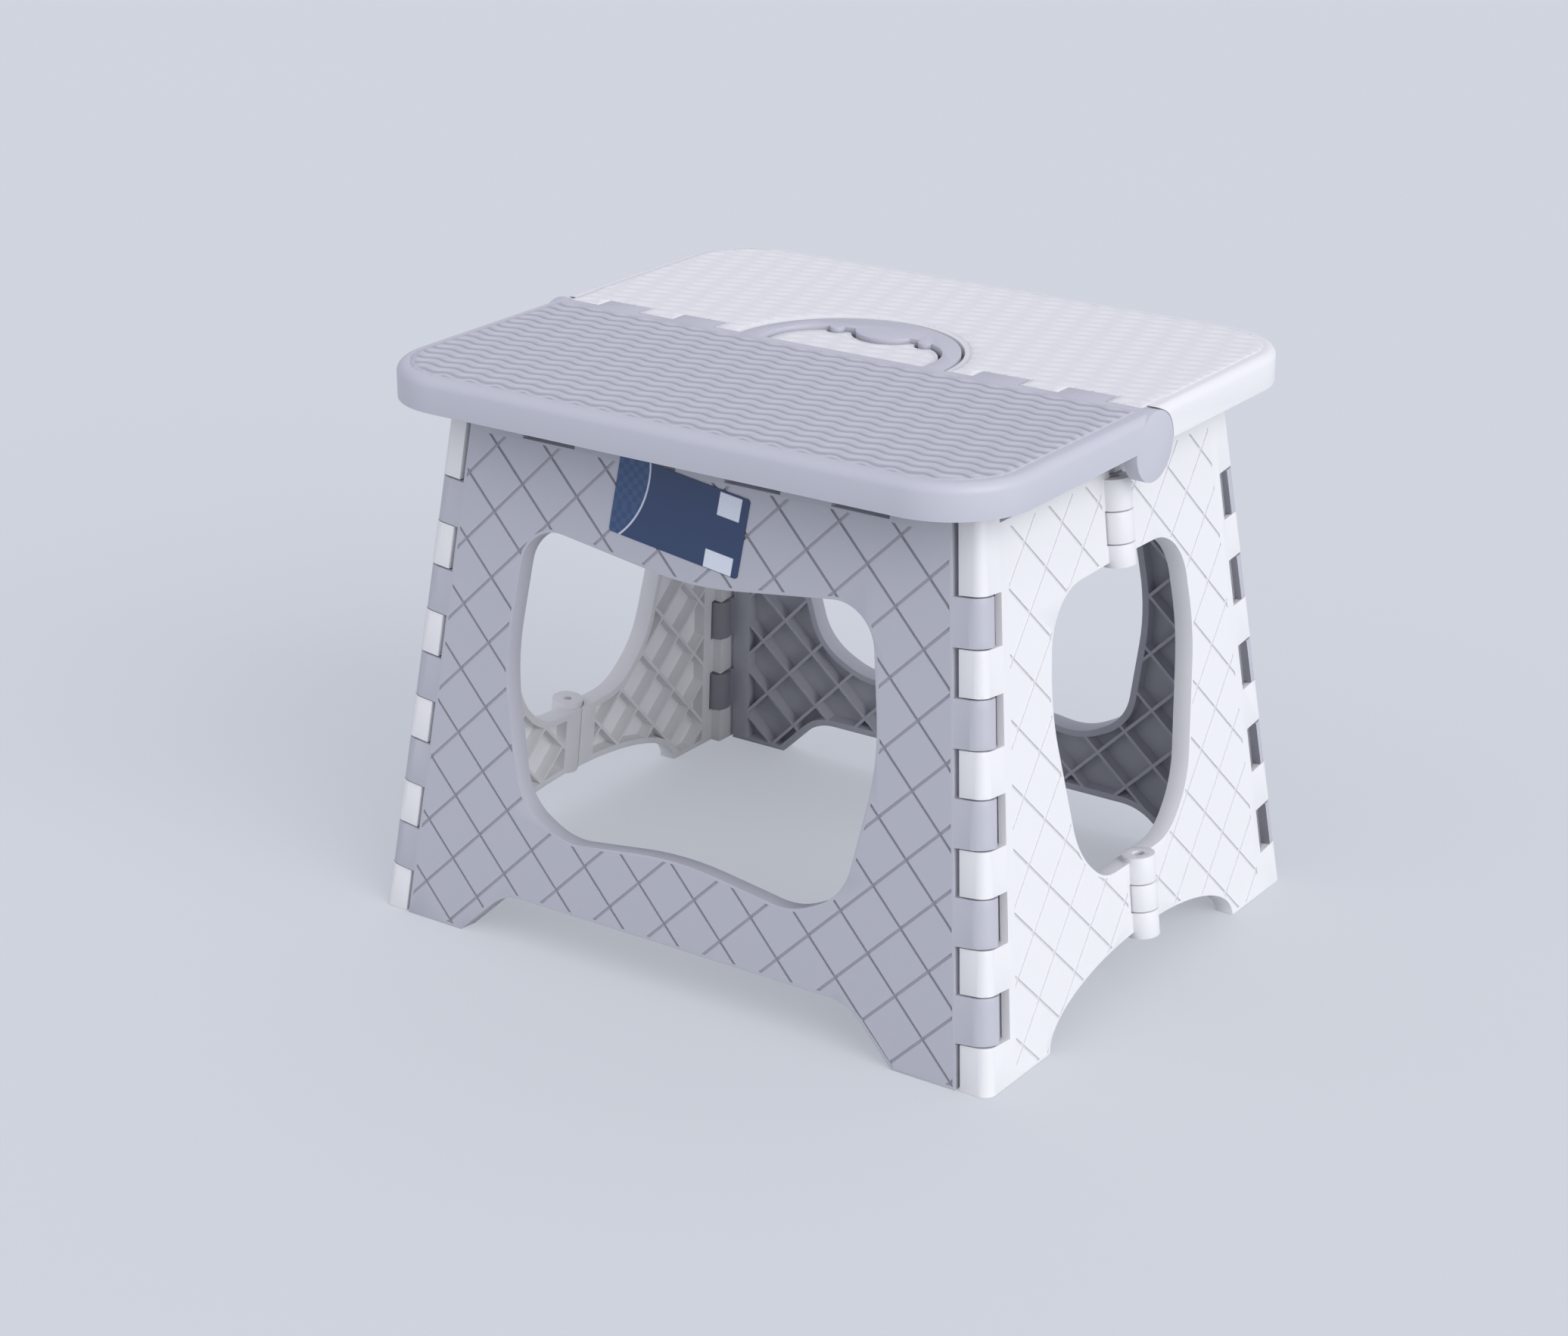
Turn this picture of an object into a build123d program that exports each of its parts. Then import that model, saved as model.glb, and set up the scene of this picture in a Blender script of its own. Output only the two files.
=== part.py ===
"""Folding step stool: two top halves, two panels, four folding side leaves and their hinge rods.

X runs along the stool, the grey half is at -Y, Z is up and the floor is Z = 0. Sizes are in mm.
The hinge lines of the panels and leaves all run to two points on one ridge high above the seat,
so the stool folds flat without bending any piece.
"""
import math
import os

from build123d import *

# Overall sizes
HEIGHT = 238.0
TOP_LENGTH = 288.0
TOP_DEPTH = 250.0
TOP_CORNER_R = 35.0
TOP_EDGE_R = 4.0
SKIRT_HEIGHT = 14.0
SHELL = 3.0
BASE_LENGTH = 300.0
BASE_DEPTH = 241.0
PANEL_LEAN = 0.1204
LEAF_LEAN = 0.1141

# Corner hinges between panels and leaves
PANEL_TO_AXIS = 12.0
LEAF_TO_AXIS = 9.0
KNUCKLE_PITCH = 37.55
KNUCKLE_LENGTH = 18.6
KNUCKLE_START = 17.9
KNUCKLE_COUNT = 5
STRAP_BARREL_R = 6.0
STRAP_CORNER_R = 7.6
BLOCK_BARREL_R = 4.2
BLOCK_CORNER_R = 5.0
BLOCK_REACH = 11.4
FACE_EDGE_IN = 6.0
LEAF_SLOT_BACK = 4.5
LEAF_MARGIN = 9.0

# Panels and leaves
LEAF_DROP = 25.0
SKIN = 2.5
RIM = 3.0
RIB = 1.4
LATTICE_W = 27.3
LATTICE_H = 27.3
PANEL_LATTICE_AT = (-3.6, 16.0)
LEAF_LATTICE_AT = (1.8, 11.5)
GROOVE_W = 1.2
GROOVE_DEPTH = 0.6
GROOVE_MARGIN = 1.2
FOOT_W = 28.6
PANEL_ARCH_H = 21.0
PANEL_ARCH_SLANT = 22.0
PANEL_ARCH_R = 22.0
LEAF_ARCH_W = 75.0
LEAF_ARCH_H = 24.0
WINDOW_LOW = 50.0
WINDOW_HIGH = 178.0
PANEL_WINDOW_HALF = 90.0
LEAF_WINDOW_HALF = 56.0

# Hinge between the two leaves of one side
CENTRE_R = 6.75
CENTRE_PROUD = 0.4
CENTRE_LOW = 21.0
CENTRE_HIGH = 174.3
CENTRE_BARREL = 11.0
CENTRE_HIGH_BARREL = 12.4
CENTRE_HIGH_FIRST = 8.9

# Hinges of the top halves
PANEL_HINGE_DROP = 17.0
NOTCH_PITCH = 49.0
NOTCH_LENGTH = 26.0
NOTCH_DEPTH = 10.6
EAR_T = 6.0
SEAM_LUG_R = 6.0
SEAM_SLOT = 4.4
SEAM_SLOT_TURN = 26.6
SEAM_SLOT_PLAY = 1.5
LUG_T = 5.0
TOOTH_REACH = 8.0
TOOTH_CENTRES = (72.8, 111.5)
TOOTH_W = 20.5

# Handle
HANDLE_HALF = 48.5
HANDLE_REACH = 49.0
GRIP_HALF = 39.5
GRIP_REACH = 31.5
GRIP_CORNER_R = 24.0
FINGER_LOBE_R = 14.6
FINGER_LOBE_DEPTH = 8.3
SIDE_LOBE_R = 3.2
SIDE_LOBE_X = 21.5
HANDLE_T = 5.0
HANDLE_REBATE = 2.0
ISLAND_GAP = 1.8
ISLAND_DROP = 1.6

# Rods and clearances
ROD_R = 2.0
RUN_FIT = 0.05
OPEN_FIT = 0.5
GAP = 0.6

# Label
LABEL_W = 62.5
LABEL_H = 32.0
LABEL_T = 0.3
LABEL_TURN = -7.0

HALF_X = BASE_LENGTH / 2
HALF_Y = BASE_DEPTH / 2
APEX_Z = HALF_Y / PANEL_LEAN
PANEL_STRETCH = math.hypot(1, PANEL_LEAN)
LEAF_STRETCH = math.hypot(1, LEAF_LEAN)
LEAF_TOP = HEIGHT - LEAF_DROP
SKIRT_Z = HEIGHT - SKIRT_HEIGHT
SEAM_Z = SKIRT_Z
PANEL_HINGE_Z = HEIGHT - PANEL_HINGE_DROP


def shrink(z):
    """How far the hinge layout has closed in at height z, 1 at the floor and 0 at the ridge."""
    return 1 - z / APEX_Z


# The folded pile of panel and leaf just fits between the panel face and the middle plane.
PANEL_T = 0.5 * (PANEL_TO_AXIS + LEAF_TO_AXIS) * shrink(LEAF_TOP) - 0.35
PANEL_HINGE_Y = HALF_Y * shrink(PANEL_HINGE_Z) - PANEL_T / 2 * PANEL_STRETCH
BEAD_R = PANEL_T / 2


def leaf_face(z):
    """X of the outer face of the right leaves at height z."""
    return HALF_X - LEAF_LEAN * z


def corner_axis(sx, sy, z):
    """Point of a corner hinge line at height z, sx and sy give the corner."""
    x = leaf_face(z) + CENTRE_PROUD - LEAF_TO_AXIS * shrink(z)
    return Vector(sx * x, sy * (HALF_Y - PANEL_TO_AXIS) * shrink(z), z)


def centre_axis(sx, z):
    """Point of the hinge line between the two leaves of one side at height z."""
    return Vector(sx * (leaf_face(z) + CENTRE_PROUD), 0, z)


def ring_face(start, end, radius):
    """Round face at start, square to the line from start to end."""
    with BuildSketch(Plane(origin=start, z_dir=end - start)) as face:
        Circle(radius)
    return face.sketch


def tapered(sx, sy, low, high, section):
    """Solid along a corner hinge line that closes in with it, its ends square to the line.

    section draws the outline for one scale, x pointing out of the leaf and y out of the panel.
    """
    start, end = corner_axis(1, 1, low), corner_axis(1, 1, high)
    with BuildPart() as solid:
        for z in (low - 6, high + 6):
            with BuildSketch(Plane(origin=corner_axis(1, 1, z), x_dir=(1, 0, 0), z_dir=(0, 0, 1))):
                section(shrink(z))
        loft(ruled=True)
        extrude(ring_face(start, end, 60), amount=(end - start).length, mode=Mode.INTERSECT)
    part = solid.part if sx > 0 else solid.part.mirror(Plane.YZ)
    return part if sy > 0 else part.mirror(Plane.XZ)


def strap_section(scale):
    """Panel knuckle: a strap flush with the panel that bends round to the leaf, and its rod barrel."""
    inner, outer, front = -12 * scale, LEAF_TO_AXIS * scale, PANEL_TO_AXIS * scale
    with Locations(((inner + outer) / 2, front - PANEL_T / 2)):
        strap = Rectangle(outer - inner, PANEL_T)
    fillet(strap.vertices().group_by(Axis.Y)[-1].sort_by(Axis.X)[-1], STRAP_CORNER_R * scale)
    Circle(STRAP_BARREL_R * scale)


def block_section(scale):
    """Leaf knuckle: a rounded block flush with the leaf face, round the rod."""
    inner, outer = -BLOCK_BARREL_R * scale, LEAF_TO_AXIS * scale - CENTRE_PROUD
    back, front = -BLOCK_BARREL_R * scale, BLOCK_REACH * scale
    with Locations(((inner + outer) / 2, (back + front) / 2)):
        block = Rectangle(outer - inner, front - back)
    rear, fore = block.vertices().group_by(Axis.Y)[0], block.vertices().group_by(Axis.Y)[-1]
    fillet(fore.sort_by(Axis.X)[-1], BLOCK_CORNER_R * scale)
    fillet(fore.sort_by(Axis.X)[0], 1.5 * scale)
    fillet(rear.sort_by(Axis.X)[0], 3 * scale)


def slot_section(scale):
    """Room in a leaf for a panel knuckle."""
    back = -LEAF_SLOT_BACK * scale
    with Locations((0, back + 20)):
        Rectangle(60, 40)
    Circle(STRAP_BARREL_R * scale + GAP)


def knuckle_spans():
    """Heights of the grey knuckles of one corner hinge."""
    lows = [KNUCKLE_START + KNUCKLE_PITCH * i for i in range(KNUCKLE_COUNT)]
    return [(low, low + KNUCKLE_LENGTH) for low in lows]


def white_spans():
    """Heights of the white knuckles, which fill the rest of the corner hinge."""
    grey = knuckle_spans()
    lows = [-3.0] + [span[1] + GAP for span in grey]
    highs = [span[0] - GAP for span in grey] + [LEAF_TOP + 3]
    return list(zip(lows, highs))


def diamonds(width, high, half, at):
    """Cells of the diamond pattern, one centred at a given spot, with lines of one width between them."""
    inner = LATTICE_W * LATTICE_H / 2 / math.hypot(LATTICE_W, LATTICE_H)
    scale = 0.5 - width / 4 / inner
    across, up = scale * LATTICE_W, scale * LATTICE_H
    columns, rows = int(2 * half / LATTICE_W) + 1, int(2 * high / LATTICE_H) + 2
    spots = [(at[0] + LATTICE_W * (i + (j % 2) / 2), at[1] + LATTICE_H * j / 2)
             for i in range(-columns // 2 - 1, columns // 2 + 1) for j in range(-2, rows)]
    with BuildSketch() as cells:
        with Locations(*spots):
            Polygon((-across, 0), (0, -up), (across, 0), (0, up))
    return cells.sketch


def panel_window(grow=0.0):
    """Window of a front or back panel, sagging at the top and raised in the middle below."""
    low, high, half = WINDOW_LOW * PANEL_STRETCH, WINDOW_HIGH * PANEL_STRETCH, PANEL_WINDOW_HALF
    mid = low + 0.53 * (high - low)
    right = [(0.911 * half, high), (half, mid), (0.878 * half, low + 12), (0.62 * half, low)]
    left = [(-x, y) for x, y in reversed(right)]
    with BuildSketch() as window:
        with BuildLine():
            Polyline(*([(0, high - 11)] + right + [(0, low + 7.5)] + left), close=True)
        make_face()
        by_height = window.vertices().sort_by(Axis.Y)
        fillet(by_height[0:2], 30)
        fillet(window.vertices().filter_by(lambda v: abs(v.Y - low - 7.5) < 0.1 and abs(v.X) < 1), 150)
        fillet(window.vertices().filter_by(lambda v: abs(v.Y - low - 12) < 0.1), 26)
        fillet(window.vertices().filter_by(lambda v: abs(v.Y - mid) < 0.1), 110)
        fillet(window.vertices().filter_by(lambda v: abs(v.Y - high) < 0.1), 18)
        fillet(window.vertices().filter_by(lambda v: abs(v.Y - high + 11) < 0.1 and abs(v.X) < 1), 150)
        if grow:
            offset(amount=grow)
    return window.sketch


def panel_arch(grow=0.0):
    """Arch between the two feet of a panel, drawn down past the floor."""
    half = corner_axis(1, 1, 0).X - FACE_EDGE_IN - FOOT_W
    right = [(half, -20), (half, 0), (half - PANEL_ARCH_SLANT, PANEL_ARCH_H)]
    with BuildSketch() as arch:
        with BuildLine():
            Polyline(*(right + [(-x, y) for x, y in reversed(right)]), close=True)
        make_face()
        fillet(arch.vertices().group_by(Axis.Y)[-1], PANEL_ARCH_R)
        if grow:
            offset(amount=grow)
    return arch.sketch


def panel_outline(inset_side, inset_low, top):
    """Tapered outline of a panel face, with insets, up to height top."""
    edge_low = corner_axis(1, 1, 0).X - FACE_EDGE_IN - inset_side
    edge_top = corner_axis(1, 1, top).X - FACE_EDGE_IN - inset_side
    high = top * PANEL_STRETCH
    with BuildSketch() as outline:
        with BuildLine():
            Polyline((-edge_low, inset_low), (edge_low, inset_low), (edge_top, high), (-edge_top, high),
                     close=True)
        make_face()
    return outline.sketch


def leaf_window(grow=0.0):
    """Egg-shaped side window, shared by the two leaves of one side."""
    low, high, half = WINDOW_LOW * LEAF_STRETCH + 3, WINDOW_HIGH * LEAF_STRETCH - 1.5, LEAF_WINDOW_HALF
    mid = low + 0.635 * (high - low)
    right = [(0.89 * half, high - 1), (half, mid), (0.786 * half, low + 17), (0.464 * half, low + 0.5)]
    left = [(-x, y) for x, y in reversed(right)]
    with BuildSketch() as window:
        with BuildLine():
            Polyline(*([(0, high)] + right + [(0, low)] + left), close=True)
        make_face()
        fillet(window.vertices().filter_by(lambda v: abs(v.Y - low - 0.5) < 0.1), 24)
        fillet(window.vertices().filter_by(lambda v: abs(v.Y - low - 17) < 0.1), 38)
        fillet(window.vertices().filter_by(lambda v: abs(v.Y - mid) < 0.1), 90)
        fillet(window.vertices().filter_by(lambda v: abs(v.Y - high + 1) < 0.1), 25)
        if grow:
            offset(amount=grow)
    return window.sketch


def leaf_outline(sy, inset_corner, inset_mid, inset_low, top):
    """Tapered outline of one leaf face, with insets, up to height top."""
    corner_low = (HALF_Y - PANEL_TO_AXIS) * shrink(0) - inset_corner
    corner_top = (HALF_Y - PANEL_TO_AXIS) * shrink(top) - inset_corner
    high = top * LEAF_STRETCH
    with BuildSketch() as outline:
        with BuildLine():
            Polyline((sy * corner_low, inset_low), (sy * inset_mid, inset_low), (sy * inset_mid, high),
                     (sy * corner_top, high), close=True)
        make_face()
    return outline.sketch


def centre_spans():
    """Heights of the six barrels of one side hinge with the leaf end each belongs to."""
    spans = []
    for start, first, length in ((CENTRE_LOW, CENTRE_BARREL, CENTRE_BARREL),
                                 (CENTRE_HIGH, CENTRE_HIGH_FIRST, CENTRE_HIGH_BARREL)):
        for i, size in enumerate((first, length, length)):
            spans.append((start, start + size, 1 if i == 1 else -1))
            start += size + GAP
    return spans


def make_leaf(sy):
    """Right-hand leaf at the front (sy -1) or back (sy 1), bored for its corner rod and centre pins."""
    face = Plane(origin=(HALF_X, 0, 0), x_dir=(0, 1, 0), z_dir=(1, 0, LEAF_LEAN))
    foot = face.offset(-SKIN)
    groove = face.offset(-GROOVE_DEPTH)
    with BuildSketch(face) as blank:
        add(leaf_outline(sy, 0, GAP / 2, 0, LEAF_TOP))
        add(leaf_window(), mode=Mode.SUBTRACT)
        Ellipse(LEAF_ARCH_W, LEAF_ARCH_H, mode=Mode.SUBTRACT)
    with BuildSketch(foot) as pockets:
        add(leaf_outline(sy, LEAF_MARGIN + 3, CENTRE_R + GAP + 3, RIM, LEAF_TOP - RIM))
        add(leaf_window(RIM), mode=Mode.SUBTRACT)
        Ellipse(LEAF_ARCH_W + RIM, LEAF_ARCH_H + RIM, mode=Mode.SUBTRACT)
        add(diamonds(RIB, LEAF_TOP, HALF_Y, LEAF_LATTICE_AT), mode=Mode.INTERSECT)
    with BuildSketch(groove) as lines:
        add(leaf_outline(sy, LEAF_MARGIN, CENTRE_R + GAP + 2, GROOVE_MARGIN, LEAF_TOP - RIM))
        add(leaf_window(GROOVE_MARGIN), mode=Mode.SUBTRACT)
        Ellipse(LEAF_ARCH_W + GROOVE_MARGIN, LEAF_ARCH_H + GROOVE_MARGIN, mode=Mode.SUBTRACT)
        add(diamonds(GROOVE_W, LEAF_TOP, HALF_Y, LEAF_LATTICE_AT), mode=Mode.SUBTRACT)
    with BuildPart() as leaf:
        extrude(blank.sketch, amount=-PANEL_T)
        for low, high in knuckle_spans():
            add(tapered(1, sy, low - GAP, high + GAP, slot_section), mode=Mode.SUBTRACT)
        for low, high in white_spans():
            add(tapered(1, sy, low, high, block_section))
        for low, high, owner in centre_spans():
            start, end = centre_axis(1, low), centre_axis(1, high)
            if owner == sy:
                extrude(ring_face(start, end, CENTRE_R), amount=(end - start).length)
            else:
                start, end = centre_axis(1, low - GAP), centre_axis(1, high + GAP)
                room = ring_face(start, end, CENTRE_R + GAP)
                extrude(room, amount=(end - start).length, mode=Mode.SUBTRACT)
        start, end = corner_axis(1, sy, -10), corner_axis(1, sy, HEIGHT)
        extrude(ring_face(start, end, ROD_R + RUN_FIT), amount=(end - start).length, mode=Mode.SUBTRACT)
        start, end = centre_axis(1, -10), centre_axis(1, HEIGHT)
        extrude(ring_face(start, end, ROD_R + RUN_FIT), amount=(end - start).length, mode=Mode.SUBTRACT)
        with Locations((HALF_X, 0, -10)):
            Box(2 * HALF_X, 4 * HALF_Y, 20, mode=Mode.SUBTRACT)
        extrude(pockets.sketch, amount=-2 * PANEL_T, mode=Mode.SUBTRACT)
        extrude(lines.sketch, amount=2 * GROOVE_DEPTH, mode=Mode.SUBTRACT)
    return leaf.part


# Front panel and its mirror image at the back
front_face = Plane(origin=(0, -HALF_Y, 0), x_dir=(1, 0, 0), z_dir=(0, -1, PANEL_LEAN))
notch_low = PANEL_HINGE_Z - NOTCH_DEPTH
notch_spots = [NOTCH_PITCH * (i - 1.5) for i in range(4)]

with BuildSketch(front_face) as panel_blank:
    add(panel_outline(0, 0, PANEL_HINGE_Z))
    add(panel_window(), mode=Mode.SUBTRACT)
    add(panel_arch(), mode=Mode.SUBTRACT)
    with Locations(*[(x, notch_low * PANEL_STRETCH + 20) for x in notch_spots]):
        Rectangle(NOTCH_LENGTH, 40, mode=Mode.SUBTRACT)

with BuildSketch(front_face.offset(-SKIN)) as panel_pockets:
    add(panel_outline(9, RIM, notch_low - RIM))
    add(panel_window(RIM), mode=Mode.SUBTRACT)
    add(panel_arch(RIM), mode=Mode.SUBTRACT)
    add(diamonds(RIB, HEIGHT, HALF_X, PANEL_LATTICE_AT), mode=Mode.INTERSECT)

with BuildSketch(front_face.offset(-GROOVE_DEPTH)) as panel_lines:
    add(panel_outline(GROOVE_MARGIN, GROOVE_MARGIN, notch_low - 1))
    add(panel_window(GROOVE_MARGIN), mode=Mode.SUBTRACT)
    add(panel_arch(GROOVE_MARGIN), mode=Mode.SUBTRACT)
    add(diamonds(GROOVE_W, HEIGHT, HALF_X, PANEL_LATTICE_AT), mode=Mode.SUBTRACT)

bead_half = corner_axis(1, 1, PANEL_HINGE_Z).X - FACE_EDGE_IN

with BuildPart() as front_panel:
    extrude(panel_blank.sketch, amount=-PANEL_T)
    with BuildSketch(Plane.YZ.offset(-bead_half)):
        with Locations((-PANEL_HINGE_Y, PANEL_HINGE_Z)):
            Circle(BEAD_R)
    extrude(amount=2 * bead_half)
    with Locations(*[(x, -PANEL_HINGE_Y, PANEL_HINGE_Z) for x in notch_spots]):
        Box(NOTCH_LENGTH, 3 * PANEL_T, 2 * BEAD_R + 2 * GAP, mode=Mode.SUBTRACT)
    for sx in (-1, 1):
        for low, high in knuckle_spans():
            add(tapered(sx, -1, low, high, strap_section))
        start, end = corner_axis(sx, -1, -10), corner_axis(sx, -1, LEAF_TOP)
        extrude(ring_face(start, end, ROD_R + RUN_FIT), amount=(end - start).length, mode=Mode.SUBTRACT)
    with BuildSketch(Plane.YZ.offset(-HALF_X)):
        with Locations((-PANEL_HINGE_Y, PANEL_HINGE_Z)):
            Circle(ROD_R + RUN_FIT)
    extrude(amount=2 * HALF_X, mode=Mode.SUBTRACT)
    with Locations((0, -HALF_Y, -10)):
        Box(3 * HALF_X, 2 * HALF_Y, 20, mode=Mode.SUBTRACT)
    extrude(panel_pockets.sketch, amount=-2 * PANEL_T, mode=Mode.SUBTRACT)
    extrude(panel_lines.sketch, amount=2 * GROOVE_DEPTH, mode=Mode.SUBTRACT)

with BuildPart() as back_panel:
    mirror(front_panel.part, about=Plane.XZ)

# Side leaves
front_leaf = make_leaf(-1)
with BuildPart() as right_front_leaf:
    add(front_leaf)
    pin_start, pin_end = centre_axis(1, -10), centre_axis(1, HEIGHT)
    open_bore = ring_face(pin_start, pin_end, ROD_R + OPEN_FIT)
    extrude(open_bore, amount=(pin_end - pin_start).length, mode=Mode.SUBTRACT)
with BuildPart() as right_back_leaf:
    add(make_leaf(1))
with BuildPart() as left_front_leaf:
    mirror(front_leaf, about=Plane.YZ)
with BuildPart() as left_back_leaf:
    mirror(right_back_leaf.part, about=Plane.YZ)


def top_slab(sy):
    """Hollow half of the seat before its hinge lugs, grey at sy -1 and white at sy 1."""
    with BuildSketch(Plane.XY.offset(SKIRT_Z)) as plan:
        RectangleRounded(TOP_LENGTH, TOP_DEPTH, TOP_CORNER_R)
    with BuildSketch(Plane.XY.offset(SKIRT_Z)) as hollow:
        RectangleRounded(TOP_LENGTH - 2 * SHELL, TOP_DEPTH - 2 * SHELL, TOP_CORNER_R - SHELL)
    with BuildSketch(Plane.XY.offset(SKIRT_Z)) as half:
        with Locations((0, sy * (TOP_DEPTH / 2 + GAP / 2))):
            Rectangle(2 * TOP_LENGTH, TOP_DEPTH)
        wide = TOOTH_W if sy < 0 else TOOTH_W + 2 * GAP
        reach = TOOTH_REACH if sy < 0 else TOOTH_REACH + GAP
        with Locations(*[(s * c, reach / 2 - 1) for c in TOOTH_CENTRES for s in (-1, 1)]):
            Rectangle(wide, reach + 2, mode=Mode.ADD if sy < 0 else Mode.SUBTRACT)
    with BuildPart() as slab:
        extrude(plan.sketch, amount=SKIRT_HEIGHT)
        fillet(slab.edges().group_by(Axis.Z)[-1], TOP_EDGE_R)
        extrude(hollow.sketch, amount=SKIRT_HEIGHT - SHELL, mode=Mode.SUBTRACT)
        extrude(half.sketch, amount=SKIRT_HEIGHT, mode=Mode.INTERSECT)
    return slab.part


def rib_boxes(sy):
    """Centre and size of the stiffening ribs under one half of the seat."""
    depth = 8.0
    z = HEIGHT - SHELL - depth / 2 + 0.2
    far = TOP_DEPTH / 2 - SHELL / 2
    near = SEAM_SLOT + SEAM_LUG_R + 4 if sy < 0 else HANDLE_REACH + 6
    boxes = [((x, sy * (far + near) / 2, z), (RIB, far - near, depth)) for x in (-98.0, -49.0, 0.0, 49.0, 98.0)]
    boxes.append(((0, sy * (TOP_DEPTH / 2 - 18), z), (TOP_LENGTH - 2 * TOP_CORNER_R, RIB, depth)))
    boxes.append(((0, sy * (near + 6), z), (TOP_LENGTH - 2 * SHELL + 1, RIB, depth)))
    return boxes


ear_outer = TOP_LENGTH / 2
seam_gaps = (sum(TOOTH_CENTRES) / 2 - 2, TOOTH_CENTRES[1] + TOOTH_W / 2 + 6.8)
lug_white = seam_gaps
lug_grey = [x + side * (LUG_T + 1.5) for x in seam_gaps for side in (-1, 1)]
slot_mid = (-SEAM_SLOT / 2 * math.cos(math.radians(SEAM_SLOT_TURN)),
            SEAM_Z - SEAM_SLOT / 2 * math.sin(math.radians(SEAM_SLOT_TURN)))


def grip_opening(grow=0.0):
    """Finger opening of the handle with its three lobes, or the same shape grown all round."""
    with BuildSketch() as opening:
        RectangleRounded(2 * (GRIP_HALF + grow), 2 * (GRIP_REACH + grow), GRIP_CORNER_R + grow)
        with Locations((0, GRIP_REACH - FINGER_LOBE_DEPTH + FINGER_LOBE_R)):
            Circle(FINGER_LOBE_R - grow, mode=Mode.SUBTRACT)
        with Locations(*[(s * SIDE_LOBE_X, GRIP_REACH - SIDE_LOBE_R / 3) for s in (-1, 1)]):
            Circle(max(SIDE_LOBE_R - grow, 0.5), mode=Mode.SUBTRACT)
    return opening.sketch


# Grey half of the seat with the handle and the seam rods' seats
with BuildSketch(Plane.XY.offset(HEIGHT - HANDLE_T)) as handle_plan:
    Ellipse(HANDLE_HALF, HANDLE_REACH)
    add(grip_opening(), mode=Mode.SUBTRACT)
    with Locations((0, -TOP_DEPTH / 2 - 6)):
        Rectangle(TOP_LENGTH, TOP_DEPTH, mode=Mode.SUBTRACT)
with BuildSketch(Plane.XY.offset(HEIGHT - HANDLE_T)) as handle_rebate:
    add(grip_opening(HANDLE_REBATE))
    with Locations((0, -TOP_DEPTH / 2 + GAP / 2)):
        Rectangle(TOP_LENGTH, TOP_DEPTH, mode=Mode.SUBTRACT)

with BuildPart() as top_front:
    add(top_slab(-1))
    for centre, size in rib_boxes(-1):
        with Locations(centre):
            Box(*size)
    extrude(handle_plan.sketch, amount=HANDLE_T)
    extrude(handle_rebate.sketch, amount=HANDLE_REBATE, mode=Mode.SUBTRACT)
    for x in notch_spots:
        with BuildSketch(Plane.YZ.offset(x - NOTCH_LENGTH / 2 + 0.75)):
            with Locations((-PANEL_HINGE_Y, PANEL_HINGE_Z)):
                Circle(BEAD_R)
            with Locations((-PANEL_HINGE_Y, (PANEL_HINGE_Z + HEIGHT - 1) / 2)):
                Rectangle(1.5 * BEAD_R, HEIGHT - 1 - PANEL_HINGE_Z)
        extrude(amount=NOTCH_LENGTH - 1.5)
    for side in (-1, 1):
        for x in lug_grey:
            with BuildSketch(Plane.YZ.offset(side * x - LUG_T / 2)):
                with Locations((0, SEAM_Z)):
                    Circle(SEAM_LUG_R)
                with Locations((-GAP / 2 - SEAM_LUG_R / 2, (SEAM_Z + HEIGHT - 1) / 2)):
                    Rectangle(SEAM_LUG_R, HEIGHT - 1 - SEAM_Z)
            extrude(amount=LUG_T)
        with BuildSketch(Plane.YZ.offset(side * (ear_outer - EAR_T / 2) - EAR_T / 2)):
            with Locations((0, SEAM_Z)):
                Circle(SKIRT_HEIGHT)
        extrude(amount=EAR_T)
    with BuildSketch(Plane.YZ.offset(-ear_outer + 2)):
        with Locations((0, SEAM_Z)):
            Circle(ROD_R + RUN_FIT)
    extrude(amount=TOP_LENGTH - 4, mode=Mode.SUBTRACT)
    with BuildSketch(Plane.YZ.offset(-HALF_X)):
        with Locations((-PANEL_HINGE_Y, PANEL_HINGE_Z)):
            Circle(ROD_R + RUN_FIT)
    extrude(amount=2 * HALF_X, mode=Mode.SUBTRACT)

# White half of the seat with the pocket the handle lies in
pocket_floor = HEIGHT - HANDLE_T - 1.5
with BuildSketch(Plane.XY.offset(pocket_floor - SKIN)) as pocket_block:
    Ellipse(HANDLE_HALF + 1.5 + SKIN, HANDLE_REACH + 1.5 + SKIN)
    with Locations((0, -TOP_DEPTH / 2 + GAP / 2)):
        Rectangle(TOP_LENGTH, TOP_DEPTH, mode=Mode.SUBTRACT)
with BuildSketch(Plane.XY.offset(pocket_floor)) as pocket_plan:
    Ellipse(HANDLE_HALF + 1.5, HANDLE_REACH + 1.5)
with BuildSketch(Plane.XY.offset(pocket_floor - 1)) as island_plan:
    add(grip_opening(-ISLAND_GAP))
    with Locations((0, -TOP_DEPTH / 2 + GAP / 2)):
        Rectangle(TOP_LENGTH, TOP_DEPTH, mode=Mode.SUBTRACT)

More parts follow.
